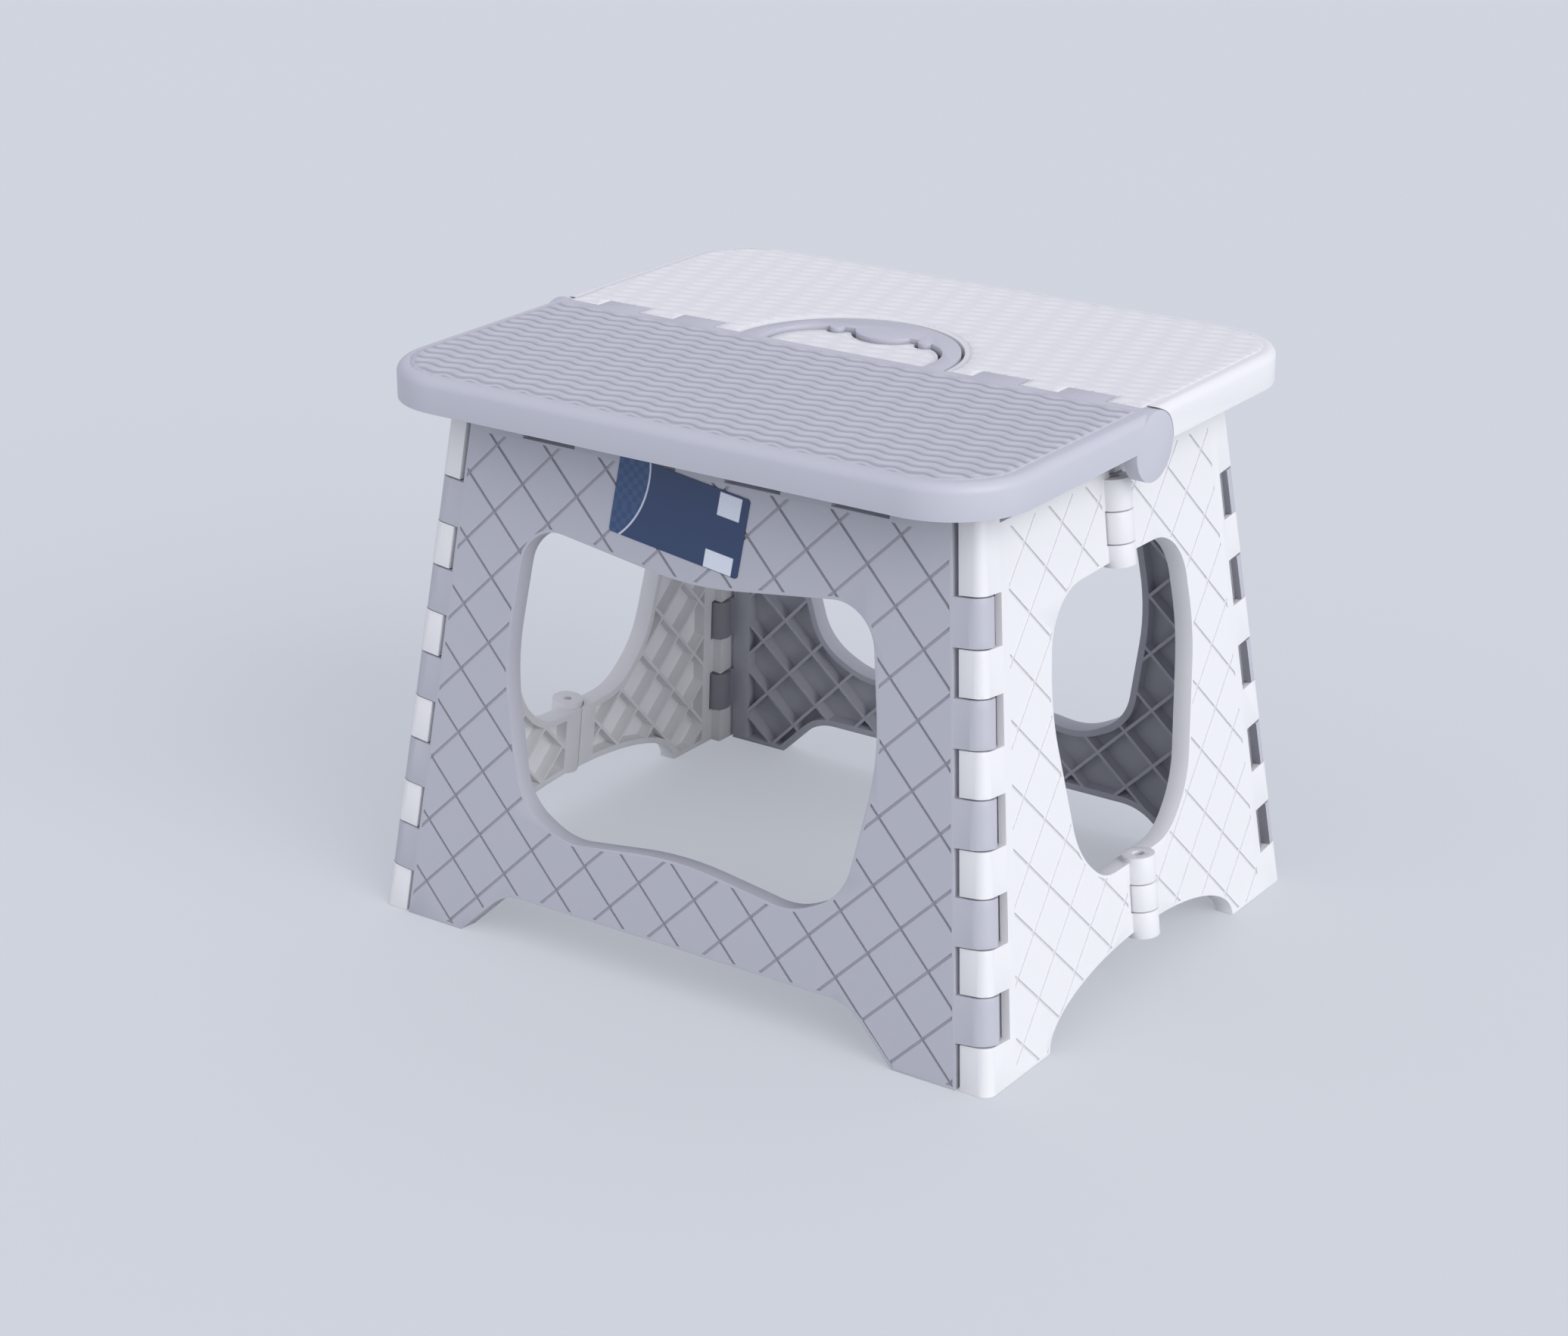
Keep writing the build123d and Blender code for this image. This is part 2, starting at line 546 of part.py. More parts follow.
with BuildPart() as top_back:
    add(top_slab(1))
    for centre, size in rib_boxes(1):
        with Locations(centre):
            Box(*size)
    extrude(pocket_block.sketch, amount=HEIGHT - 1 - pocket_floor + SKIN)
    extrude(pocket_plan.sketch, amount=HANDLE_T * 3, mode=Mode.SUBTRACT)
    extrude(island_plan.sketch, amount=HEIGHT - ISLAND_DROP - pocket_floor + 1)
    for x in notch_spots:
        with BuildSketch(Plane.YZ.offset(x - NOTCH_LENGTH / 2 + 0.75)):
            with Locations((PANEL_HINGE_Y, PANEL_HINGE_Z)):
                Circle(BEAD_R)
            with Locations((PANEL_HINGE_Y, (PANEL_HINGE_Z + HEIGHT - 1) / 2)):
                Rectangle(1.5 * BEAD_R, HEIGHT - 1 - PANEL_HINGE_Z)
        extrude(amount=NOTCH_LENGTH - 1.5)
    for side in (-1, 1):
        with BuildSketch(Plane.YZ.offset(side * (ear_outer - EAR_T / 2) - EAR_T / 2 - GAP)):
            with Locations((0, SEAM_Z)):
                Circle(SKIRT_HEIGHT + GAP)
        extrude(amount=EAR_T + 2 * GAP, mode=Mode.SUBTRACT)
        for x in lug_white:
            with BuildSketch(Plane.YZ.offset(side * x - LUG_T / 2)):
                with Locations(slot_mid):
                    SlotCenterToCenter(SEAM_SLOT, 2 * SEAM_LUG_R, rotation=SEAM_SLOT_TURN)
                with Locations((GAP / 2 + SEAM_LUG_R / 2, (SEAM_Z + HEIGHT - 1) / 2)):
                    Rectangle(SEAM_LUG_R, HEIGHT - 1 - SEAM_Z)
            extrude(amount=LUG_T)
    with BuildSketch(Plane.YZ.offset(-ear_outer - 1)):
        with Locations(slot_mid):
            SlotCenterToCenter(SEAM_SLOT, 2 * (ROD_R + SEAM_SLOT_PLAY), rotation=SEAM_SLOT_TURN)
    extrude(amount=TOP_LENGTH + 2, mode=Mode.SUBTRACT)
    with BuildSketch(Plane.YZ.offset(-HALF_X)):
        with Locations((PANEL_HINGE_Y, PANEL_HINGE_Z)):
            Circle(ROD_R + RUN_FIT)
    extrude(amount=2 * HALF_X, mode=Mode.SUBTRACT)


def rod(start, end):
    """Plain steel rod from start to end."""
    with BuildPart() as bar:
        extrude(ring_face(start, end, ROD_R), amount=(end - start).length)
    return bar.part


with BuildPart() as front_panel_rod:
    add(rod(Vector(-bead_half + 3, -PANEL_HINGE_Y, PANEL_HINGE_Z),
            Vector(bead_half - 3, -PANEL_HINGE_Y, PANEL_HINGE_Z)))
with BuildPart() as back_panel_rod:
    mirror(front_panel_rod.part, about=Plane.XZ)
with BuildPart() as seam_rod_right:
    add(rod(Vector(58, 0, SEAM_Z), Vector(ear_outer - 3, 0, SEAM_Z)))
with BuildPart() as seam_rod_left:
    mirror(seam_rod_right.part, about=Plane.YZ)
with BuildPart() as corner_rod_front_right:
    add(rod(corner_axis(1, -1, 3), corner_axis(1, -1, LEAF_TOP - 4)))
with BuildPart() as corner_rod_front_left:
    mirror(corner_rod_front_right.part, about=Plane.YZ)
with BuildPart() as corner_rod_back_right:
    mirror(corner_rod_front_right.part, about=Plane.XZ)
with BuildPart() as corner_rod_back_left:
    mirror(corner_rod_back_right.part, about=Plane.YZ)

spans = centre_spans()
with BuildPart() as right_pin_lower:
    add(rod(centre_axis(1, spans[0][0] + 1), centre_axis(1, spans[2][1] - 1)))
with BuildPart() as right_pin_upper:
    add(rod(centre_axis(1, spans[3][0] + 1), centre_axis(1, spans[5][1] - 1)))
with BuildPart() as left_pin_lower:
    mirror(right_pin_lower.part, about=Plane.YZ)
with BuildPart() as left_pin_upper:
    mirror(right_pin_upper.part, about=Plane.YZ)

# Blank sticker on the front panel
with BuildPart() as label:
    with BuildSketch(front_face.offset(RUN_FIT)):
        with Locations((-8.5, 194 * PANEL_STRETCH)):
            RectangleRounded(LABEL_W, LABEL_H, 1.5, rotation=LABEL_TURN)
    extrude(amount=LABEL_T)

os.makedirs("parts", exist_ok=True)
pieces = {
    "top_front": top_front, "top_back": top_back, "front_panel": front_panel, "back_panel": back_panel,
    "left_front_leaf": left_front_leaf, "left_back_leaf": left_back_leaf,
    "right_front_leaf": right_front_leaf, "right_back_leaf": right_back_leaf,
    "front_panel_rod": front_panel_rod, "back_panel_rod": back_panel_rod,
    "seam_rod_left": seam_rod_left, "seam_rod_right": seam_rod_right,
    "corner_rod_front_left": corner_rod_front_left, "corner_rod_front_right": corner_rod_front_right,
    "corner_rod_back_left": corner_rod_back_left, "corner_rod_back_right": corner_rod_back_right,
    "left_pin_lower": left_pin_lower, "left_pin_upper": left_pin_upper,
    "right_pin_lower": right_pin_lower, "right_pin_upper": right_pin_upper, "label": label,
}
for name, piece in pieces.items():
    piece.part.label = name
    export_step(piece.part, f"parts/{name}.step")
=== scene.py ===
"""Looks of the grey and white folding step stool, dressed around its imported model.

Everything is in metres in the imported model's frame: X runs along the stool, the grey front is at
-Y, Z is up and the floor is Z = 0.
"""
import logging
import math
from dataclasses import dataclass, field
from enum import Enum
from typing import Callable, Optional, Sequence, Union

import bmesh
import bpy
from mathutils import Matrix, Vector


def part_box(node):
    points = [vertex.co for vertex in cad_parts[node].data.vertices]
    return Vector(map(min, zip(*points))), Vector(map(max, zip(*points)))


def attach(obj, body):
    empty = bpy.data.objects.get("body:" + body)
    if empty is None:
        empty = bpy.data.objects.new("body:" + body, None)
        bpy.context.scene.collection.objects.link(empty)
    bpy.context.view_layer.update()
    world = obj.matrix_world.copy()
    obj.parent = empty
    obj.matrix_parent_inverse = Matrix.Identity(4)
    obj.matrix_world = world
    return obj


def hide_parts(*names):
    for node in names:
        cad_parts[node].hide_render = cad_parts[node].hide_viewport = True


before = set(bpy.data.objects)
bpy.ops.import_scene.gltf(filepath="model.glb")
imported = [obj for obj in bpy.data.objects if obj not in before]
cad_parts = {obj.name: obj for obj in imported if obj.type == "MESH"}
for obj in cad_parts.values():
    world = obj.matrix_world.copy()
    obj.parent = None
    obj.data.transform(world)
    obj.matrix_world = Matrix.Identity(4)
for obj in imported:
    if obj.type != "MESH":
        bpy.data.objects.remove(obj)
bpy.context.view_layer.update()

log = logging.getLogger("stool")
MM = 0.001
PANEL_LEAN = 0.1204
LEAF_LEAN = 0.1141
Number = Union[int, float]
Span = tuple[float, float]
Point = tuple[float, float, float]
Colour = tuple[float, float, float]


class Slot(Enum):
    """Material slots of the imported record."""

    GREY = "grey_plastic"
    WHITE = "white_plastic"


def srgb(red: int, green: int, blue: int) -> Colour:
    """Turn display values into scene-linear ones.

    Args:
        red, green, blue: Display values from 0 to 255.

    Returns:
        The linear colour.
    """
    def linear(value: int) -> float:
        """One channel."""
        part = value / 255
        return part / 12.92 if part <= 0.04045 else ((part + 0.055) / 1.055) ** 2.4
    return linear(red), linear(green), linear(blue)


class Field:
    """A value socket whose arithmetic adds Math nodes."""

    def __init__(self, bench: "Bench", socket: bpy.types.NodeSocket) -> None:
        """Wrap one output socket."""
        self.bench = bench
        self.socket = socket

    def math(self, operation: str, *others: Union["Field", Number]) -> "Field":
        """Add a Math node with this value first.

        Args:
            operation: The Math node's operation.
            others: The values of its further sockets.

        Returns:
            The result.
        """
        values = dict(enumerate((self, *others)))
        return self.bench.value("ShaderNodeMath", {"operation": operation}, values)

    def _reflected(self, operation: str, first: Number) -> "Field":
        """Add a Math node with a plain number first."""
        return self.bench.value("ShaderNodeMath", {"operation": operation}, {0: first, 1: self})

    def __add__(self, other: Union["Field", Number]) -> "Field":
        """Sum."""
        return self.math("ADD", other)

    def __radd__(self, other: Number) -> "Field":
        """Sum with the number first."""
        return self._reflected("ADD", other)

    def __sub__(self, other: Union["Field", Number]) -> "Field":
        """Difference."""
        return self.math("SUBTRACT", other)

    def __rsub__(self, other: Number) -> "Field":
        """Difference with the number first."""
        return self._reflected("SUBTRACT", other)

    def __mul__(self, other: Union["Field", Number]) -> "Field":
        """Product."""
        return self.math("MULTIPLY", other)

    def __rmul__(self, other: Number) -> "Field":
        """Product with the number first."""
        return self._reflected("MULTIPLY", other)

    def __truediv__(self, other: Union["Field", Number]) -> "Field":
        """Quotient."""
        return self.math("DIVIDE", other)

    def __abs__(self) -> "Field":
        """Size without sign."""
        return self.math("ABSOLUTE")

    def at_most(self, other: Union["Field", Number]) -> "Field":
        """The smaller of the two."""
        return self.math("MINIMUM", other)

    def at_least(self, other: Union["Field", Number]) -> "Field":
        """The larger of the two."""
        return self.math("MAXIMUM", other)

    def step(self, low: float, high: float) -> "Field":
        """Smooth step from 0 at low to 1 at high, also with low above high.

        Args:
            low: Where the result is 0.
            high: Where the result is 1.

        Returns:
            The stepped value.
        """
        return self.bench.value(
            "ShaderNodeMapRange", {"interpolation_type": "SMOOTHSTEP"},
            {"Value": self, "From Min": low, "From Max": high, "To Min": 0.0, "To Max": 1.0})


class Bench:
    """Makes the nodes of one material or world."""

    def __init__(self, holder: Union[bpy.types.Material, bpy.types.World]) -> None:
        """Start with no nodes.

        Args:
            holder: The material or world.
        """
        self.holder = holder
        holder.use_nodes = True
        self.tree = holder.node_tree
        self.tree.nodes.clear()

    def node(self, kind: str, settings: Optional[dict] = None,
             inputs: Optional[dict] = None) -> bpy.types.Node:
        """Add one node, its settings first and then its sockets.

        Args:
            kind: The node's type.
            settings: Attributes of the node.
            inputs: Socket values or links by name or number.

        Returns:
            The node.
        """
        made = self.tree.nodes.new(kind)
        for name, value in (settings or {}).items():
            setattr(made, name, value)
        for name, value in (inputs or {}).items():
            if isinstance(value, Field):
                self.tree.links.new(value.socket, made.inputs[name])
            elif isinstance(value, bpy.types.NodeSocket):
                self.tree.links.new(value, made.inputs[name])
            else:
                made.inputs[name].default_value = value
        return made

    def value(self, kind: str, settings: Optional[dict] = None,
              inputs: Optional[dict] = None, output: Union[int, str] = 0) -> Field:
        """Add a node and wrap one of its outputs.

        Args:
            kind, settings, inputs: As for node.
            output: Name or number of the output.

        Returns:
            The wrapped output.
        """
        return Field(self, self.node(kind, settings, inputs).outputs[output])

    def place(self) -> Field:
        """Object coordinates."""
        return self.value("ShaderNodeTexCoord", output="Object")

    def along(self, vector: Field, direction: Sequence[float]) -> Field:
        """Length of a vector along a direction."""
        return self.value("ShaderNodeVectorMath", {"operation": "DOT_PRODUCT"},
                          {0: vector, 1: tuple(direction)}, "Value")

    def noise(self, vector: Field, scale: float, detail: float = 2.0, roughness: float = 0.5) -> Field:
        """Noise value from 0 to 1.

        Args:
            vector: Coordinates.
            scale: Features per metre.
            detail: Octaves.
            roughness: Share of the finer octaves.

        Returns:
            The noise.
        """
        return self.value("ShaderNodeTexNoise", None,
                          {"Vector": vector, "Scale": scale, "Detail": detail, "Roughness": roughness},
                          "Fac")

    def mix(self, factor: Field, low: Union[Colour, Field], high: Union[Colour, Field]) -> Field:
        """Blend two colours.

        Args:
            factor: 0 for the first colour and 1 for the second.
            low, high: The colours.

        Returns:
            The blended colour.
        """
        first, second = (part if isinstance(part, Field) else (*part, 1.0) for part in (low, high))
        return self.value("ShaderNodeMix", {"data_type": "RGBA"}, {0: factor, 6: first, 7: second}, 2)

    def surface(self, inputs: dict) -> bpy.types.Material:
        """Close the material with a principled surface.

        Args:
            inputs: Its socket values or links.

        Returns:
            The finished material.
        """
        shader = self.node("ShaderNodeBsdfPrincipled", None, inputs)
        self.node("ShaderNodeOutputMaterial", None, {"Surface": shader.outputs[0]})
        return self.holder

    def camera_mix(self, share: float, first: bpy.types.Node, second: bpy.types.Node,
                   output: str) -> None:
        """Close with one shader for the light and a share of another for the camera.

        Args:
            share: Share of the second shader that the camera sees.
            first, second: The shaders.
            output: The closing node's type.
        """
        seen = self.value("ShaderNodeLightPath", output="Is Camera Ray") * share
        both = self.node("ShaderNodeMixShader", None,
                         {0: seen, 1: first.outputs[0], 2: second.outputs[0]})
        self.node(output, None, {"Surface": both.outputs[0]})


@dataclass(frozen=True)
class Face:
    """Outer face of a panel or leaf, on whose cut lines and hollows shade and light are painted into the
    colour.

    Attributes:
        origin: Middle of the face's lower edge.
        normal: Its outward direction.
        across: Its level direction.
        cell: Where one cell of its diamond lattice is centred, across and up the face.
        pitch: Width of a cell.
        line_edge: Where a lattice line starts and is full, in shares of the pitch.
        line_top, line_floor: Depths between which a line gets its painted shade and light.
        pit: Depths at which the painted shadow of the hinge barrels starts and is full.
        pocket: Depths at which the painted shade and light of the pockets' floors start and are full.
        hinge_half: Distance of the corner hinge lines from the middle, at the floor.
        hinge_lean: How much nearer they come with height.
        squarely, backward, inward: Facings from which a line's floor, a strap's back and a pocket's
            floor count, and at which they count in full.
    """

    origin: Point
    normal: Point
    across: Point
    cell: Span
    pitch: float = 27.3 * MM
    line_edge: Span = (0.055, 0.035)
    line_top: Span = (0.2 * MM, 0.5 * MM)
    line_floor: Span = (1.4 * MM, 1.0 * MM)
    pit: Span = (7.95 * MM, 9.9 * MM)
    pocket: Span = (3.4 * MM, 2.8 * MM)
    hinge_half: float = 141.4 * MM
    hinge_lean: float = 0.105
    squarely: Span = (0.96, 0.99)
    backward: Span = (-0.3, -0.8)
    inward: Span = (-0.9, -0.98)

    @property
    def out(self) -> Vector:
        """Outward direction of unit length."""
        return Vector(self.normal).normalized()

    def depth(self, bench: Bench, place: Field) -> Field:
        """How far a point lies behind the face.

        Args:
            bench: The material's nodes.
            place: Object coordinates.

        Returns:
            The depth.
        """
        return self.out.dot(Vector(self.origin)) - bench.along(place, self.out)

    def outward(self, bench: Bench) -> Field:
        """How squarely the surface looks out of the face, 1 for the face itself."""
        return bench.along(bench.value("ShaderNodeTexCoord", output="Normal"), self.out)

    def lines(self, bench: Bench, place: Field) -> Field:
        """Mark the floors of the cut lines, which get painted shade, and painted light on the white leaves'
        faint lines.

        Args:
            bench: The material's nodes.
            place: Object coordinates.

        Returns:
            1 there and 0 elsewhere.
        """
        depth = self.depth(bench, place)
        cut = depth.step(*self.line_top) * depth.step(*self.line_floor)
        return cut * self.outward(bench).step(*self.squarely)

    def falling(self, bench: Bench, place: Field) -> Field:
        """Mark the lattice lines that fall to the right, which get the stronger painted shade.

        Args:
            bench: The material's nodes.
            place: Object coordinates.

        Returns:
            1 on those lines and 0 away from them.
        """
        level = Vector(self.across)
        rising = self.out.cross(level)
        if rising.z < 0:
            rising = -rising
        along = bench.along(place, level + rising) - (level + rising).dot(Vector(self.origin))
        turns = (along - sum(self.cell)) / self.pitch
        return abs(turns.math("FRACT") - 0.5).step(*self.line_edge)

    def pits(self, bench: Bench, place: Field) -> Field:
        """Mark the hinge barrels and the inner side of the hinge straps, where shadow is painted.

        Args:
            bench: The material's nodes.
            place: Object coordinates.

        Returns:
            1 there and 0 elsewhere.
        """
        past = abs(bench.along(place, self.across)) + bench.along(place, (0, 0, self.hinge_lean))
        strap = (past - self.hinge_half).step(-1 * MM, 1 * MM) * self.outward(bench).step(*self.backward)
        return self.depth(bench, place).step(*self.pit).at_least(strap)

    def pockets(self, bench: Bench, place: Field) -> Field:
        """Mark the floors of the pockets behind the face, which get painted shade, and painted light on the
        white leaves.

        Args:
            bench: The material's nodes.
            place: Object coordinates.

        Returns:
            1 there and 0 elsewhere.
        """
        return self.depth(bench, place).step(*self.pocket) * self.outward(bench).step(*self.inward)


@dataclass(frozen=True)
class MouldedPlastic:
    """Satin injection-moulded plastic with a fine eroded grain.

    Attributes:
        name: The material's name.
        colour: Linear colour.
        roughness: Mean roughness.
        gloss: Strength of its sheen, 0.5 for the plain plastic.
        line_shade: How much painted shade darkens the lattice lines that fall to the right.
        faint_shade: How much painted shade darkens the other lattice lines; a negative amount paints light
            on them.
        pit_shade: How much painted shadow darkens the hinge barrels behind the face and the straps' inner
            side.
        pocket_shade: Painted shade on the pockets' floors behind the face; a negative amount paints light.
        grain, grain_bump: Height of the grain and how strongly it bends the light.
        grain_scale, cloud_scale: Features of the grain and of the tone per metre.
        grain_rough, cloud_rough: How much the grain and the tone change the roughness.
        tone: How much the tone varies.
        ior: Index of refraction.
        swing: Share of the colour between the middle tone and the darkest or lightest.
    """

    name: str
    colour: Colour
    roughness: float = 0.46
    gloss: float = 0.5
    line_shade: float = 0.4
    faint_shade: float = 0.16
    pit_shade: float = 0.45
    pocket_shade: float = 0.1
    grain: float = 0.03 * MM
    grain_bump: float = 0.35
    grain_scale: float = 1500.0
    cloud_scale: float = 22.0
    grain_rough: float = 0.12
    cloud_rough: float = 0.08
    tone: float = 0.03
    ior: float = 1.49
    swing: float = 0.5

    def material(self, tag: str = "", face: Optional[Face] = None,
                 tread: Optional["Tread"] = None) -> bpy.types.Material:
        """Make the material for one piece.

        Args:
            tag: Ending of the material's name.
            face: The outer face whose cut lines, hinge barrels and pockets get painted shade and light.
            tread: The ridges whose troughs get painted shade.

        Returns:
            The material.
        """
        bench = Bench(bpy.data.materials.new(f"{self.name}{tag}"))
        place = bench.place()
        cloudy = bench.noise(place, self.cloud_scale, 3.0)
        grain = bench.noise(place, self.grain_scale, 2.0, 0.6)
        # Random tone of the plastic, to which the painted shade and light below are added.
        shade = (cloudy - 0.5) * self.tone
        # Painted shade on the cut lines, hinge barrels and pockets' floors; negative amounts paint light
        # there.
        if face is not None:
            strong = self.faint_shade + face.falling(bench, place) * (self.line_shade - self.faint_shade)
            shade = shade - face.lines(bench, place) * strong
            shade = shade - face.pits(bench, place) * self.pit_shade
            shade = shade - face.pockets(bench, place) * self.pocket_shade
        # Painted shade in the seat's troughs.
        if tread is not None:
            shade = shade - tread.trough(bench, place) * tread.trough_shade
        # Base colour: the random tone with all painted shade and light mixed in.
        dark = tuple((1 - self.swing) * part for part in self.colour)
        light = tuple((1 + self.swing) * part for part in self.colour)
        tone = bench.mix((shade + 0.5).at_least(0.0).at_most(1.0), dark, light)
        bump = bench.value("ShaderNodeBump", None,
                           {"Strength": self.grain_bump, "Distance": self.grain, "Height": grain},
                           "Normal")
        rough = self.roughness + (grain - 0.5) * self.grain_rough + (cloudy - 0.5) * self.cloud_rough
        return bench.surface({"Base Color": tone, "Roughness": rough, "Normal": bump, "IOR": self.ior,
                              "Specular IOR Level": self.gloss})


@dataclass(frozen=True)
class DrawnSteel:
    """Bright drawn steel rod.

    Attributes:
        name: The material's name.
        colour: Linear colour at its brightest.
        dull: Share of the colour where it is darkest.
        drawn_scale: Drawing marks per metre.
        roughness, drawn_rough: Least roughness, and how much the marks add.
    """

    name: str = "drawn_steel"
    colour: Colour = (0.62, 0.62, 0.63)
    dull: float = 0.85
    drawn_scale: float = 900.0
    roughness: float = 0.22
    drawn_rough: float = 0.16

    def material(self) -> bpy.types.Material:
        """Make the material.

        Returns:
            The material.
        """
        bench = Bench(bpy.data.materials.new(self.name))
        drawn = bench.noise(bench.place(), self.drawn_scale, 3.0)
        tone = bench.mix(drawn, tuple(self.dull * part for part in self.colour), self.colour)
        rough = self.roughness + drawn * self.drawn_rough
        return bench.surface({"Base Color": tone, "Metallic": 1.0, "Roughness": rough})


@dataclass(frozen=True)
class Sticker:
    """Printed paper sticker without any words: two blues, one pale line and blank pale boxes.

    Attributes:
        centre: Middle of the sticker.
        across, up: Its own directions.
        name: The material's name.
        navy, blue, pale, ink: The print's colours, and the tint of the paper's fibre.
        bow_centre, bow_radius: The circle that the pale line follows, on the sticker.
        bow_line: Half width of that line, outside and inside its soft edge.
        soft: Half width of the other soft edges.
        boxes: Middle and half size of each blank box, on the sticker.
        fibre_scale, weave_scale: Features of the paper and of the left part's checks per metre.
        fibre_tint, fibre_rough: How much the fibre tints and roughens the print.
        roughness, coat, coat_rough: The print's roughness and its clear film.
    """

    centre: Point
    across: Point
    up: Point
    name: str = "blank_sticker"
    navy: Colour = srgb(28, 56, 98)
    blue: Colour = srgb(50, 84, 128)
    pale: Colour = srgb(222, 228, 238)
    ink: Colour = (0.02, 0.03, 0.05)
    bow_centre: Span = (-52 * MM, 9 * MM)
    bow_radius: float = 36 * MM
    bow_line: Span = (0.55 * MM, 0.25 * MM)
    soft: float = 0.2 * MM
    boxes: tuple[tuple[Span, Span], ...] = (((22.5 * MM, 10.5 * MM), (5.2 * MM, 4.6 * MM)),
                                            ((21.5 * MM, -12.2 * MM), (6.6 * MM, 3.6 * MM)))
    fibre_scale: float = 1400.0
    weave_scale: float = 420.0
    fibre_tint: float = 0.14
    fibre_rough: float = 0.12
    roughness: float = 0.34
    coat: float = 0.25
    coat_rough: float = 0.2

    def material(self) -> bpy.types.Material:
        """Make the material.

        Returns:
            The material.
        """
        bench = Bench(bpy.data.materials.new(self.name))
        place = bench.place()
        middle = Vector(self.centre)
        across = bench.along(place, self.across) - middle.dot(Vector(self.across))
        up = bench.along(place, self.up) - middle.dot(Vector(self.up))
        fibre = bench.noise(place, self.fibre_scale, 3.0)
        bow_x, bow_y = across - self.bow_centre[0], up - self.bow_centre[1]
        bow = (bow_x * bow_x + bow_y * bow_y).math("SQRT") - self.bow_radius
        weave = bench.value("ShaderNodeTexChecker", None,
                            {"Vector": place, "Scale": self.weave_scale, "Color1": (1, 1, 1, 1),
                             "Color2": (0, 0, 0, 1)}, "Fac")
        left = bow.step(self.soft, -self.soft)
        ground = bench.mix(left * (0.35 + weave * 0.5), self.navy, self.blue)
        pale = abs(bow).step(*self.bow_line) * 0.8
        for centre, half in self.boxes:
            box = self._within(across, centre[0], half[0]) * self._within(up, centre[1], half[1])
            pale = pale.at_least(box)
        printed = bench.mix(pale, ground, self.pale)
        tone = bench.mix(fibre * self.fibre_tint, printed, self.ink)
        return bench.surface({"Base Color": tone, "Roughness": self.roughness + fibre * self.fibre_rough,
                              "Coat Weight": self.coat, "Coat Roughness": self.coat_rough})

    def _within(self, place: Field, centre: float, half: float) -> Field:
        """Mark what lies within a half width of a middle."""
        return abs(place - centre).step(half + self.soft, half - self.soft)


def new_piece(name: str, mesh: bpy.types.Mesh, material: bpy.types.Material, body: str) -> bpy.types.Object:
    """Place a finished mesh in the scene as a piece of the stool.

    Args:
        name: The piece's name.
        mesh: Its mesh, already in place.
        material: Its finish.
        body: The body it moves with.

    Returns:
        The piece.
    """
    piece = bpy.data.objects.new(name, mesh)
    bpy.context.scene.collection.objects.link(piece)
    mesh.materials.clear()
    mesh.materials.append(material)
    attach(piece, body)
    log.info("%s: %d faces on %s", name, len(mesh.polygons), body)
    return piece


def finished_mesh(shape: bmesh.types.BMesh, name: str) -> bpy.types.Mesh:
    """Turn a working shape into a mesh and free it.

    Args:
        shape: The working shape.
        name: The mesh's name.

    Returns:
        The mesh.
    """
    mesh = bpy.data.meshes.new(name)
    shape.to_mesh(mesh)
    shape.free()
    return mesh


@dataclass
class Moulding:
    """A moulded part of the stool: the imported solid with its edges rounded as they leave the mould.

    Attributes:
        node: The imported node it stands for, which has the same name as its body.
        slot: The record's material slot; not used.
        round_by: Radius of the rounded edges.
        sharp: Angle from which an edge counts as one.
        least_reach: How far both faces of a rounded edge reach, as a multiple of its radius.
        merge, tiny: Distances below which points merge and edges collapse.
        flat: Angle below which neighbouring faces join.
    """

    node: str
    slot: Slot
    round_by: float = 0.55 * MM
    sharp: float = math.radians(33)
    least_reach: float = 2.2
    merge: float = 0.004 * MM
    tiny: float = 0.01 * MM
    flat: float = math.radians(0.3)

    @staticmethod
    def _reach(edge: bmesh.types.BMEdge, face: bmesh.types.BMFace) -> float:
        """How far a face reaches from one of its edges.

        Args:
            edge: The edge.
            face: A face beside it.

        Returns:
            The largest distance of the face's corners from the edge's line.
        """
        start = edge.verts[0].co
        along = (edge.verts[1].co - start).normalized()
        arms = [vert.co - start for vert in face.verts]
        return max((arm - along * arm.dot(along)).length for arm in arms)

    def mesh(self) -> bpy.types.Mesh:
        """Merge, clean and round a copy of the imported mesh.

        Returns:
            The rounded mesh.
        """
        shape = bmesh.new()
        shape.from_mesh(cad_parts[self.node].data)
        bmesh.ops.remove_doubles(shape, verts=shape.verts, dist=self.merge)
        bmesh.ops.dissolve_degenerate(shape, edges=shape.edges, dist=self.tiny)
        bmesh.ops.dissolve_limit(shape, angle_limit=self.flat, verts=shape.verts, edges=shape.edges)
        least = self.least_reach * self.round_by
        picked = [edge for edge in shape.edges if len(edge.link_faces) == 2
                  and edge.calc_face_angle(0.0) > self.sharp
                  and min(self._reach(edge, side) for side in edge.link_faces) > least]
        bmesh.ops.bevel(shape, geom=picked, offset=self.round_by, offset_type="OFFSET", segments=2,
                        profile=0.5, affect="EDGES", clamp_overlap=True, material=-1)
        for face in shape.faces:
            face.smooth = True
        for edge in shape.edges:
            edge.smooth = len(edge.link_faces) == 2 and edge.calc_face_angle(0.0) < self.sharp
        return finished_mesh(shape, f"{self.node}_moulded")

    def dress(self, material: bpy.types.Material) -> None:
        """Make the piece and let it stand for its node.

        Args:
            material: Its finish.
        """
        piece = new_piece(f"{self.node}_moulded", self.mesh(), material, self.node)
        for name in ("custom_normal", "sharp_face"):
            layer = piece.data.attributes.get(name)
            if layer is not None:
                piece.data.attributes.remove(layer)
        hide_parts(self.node)


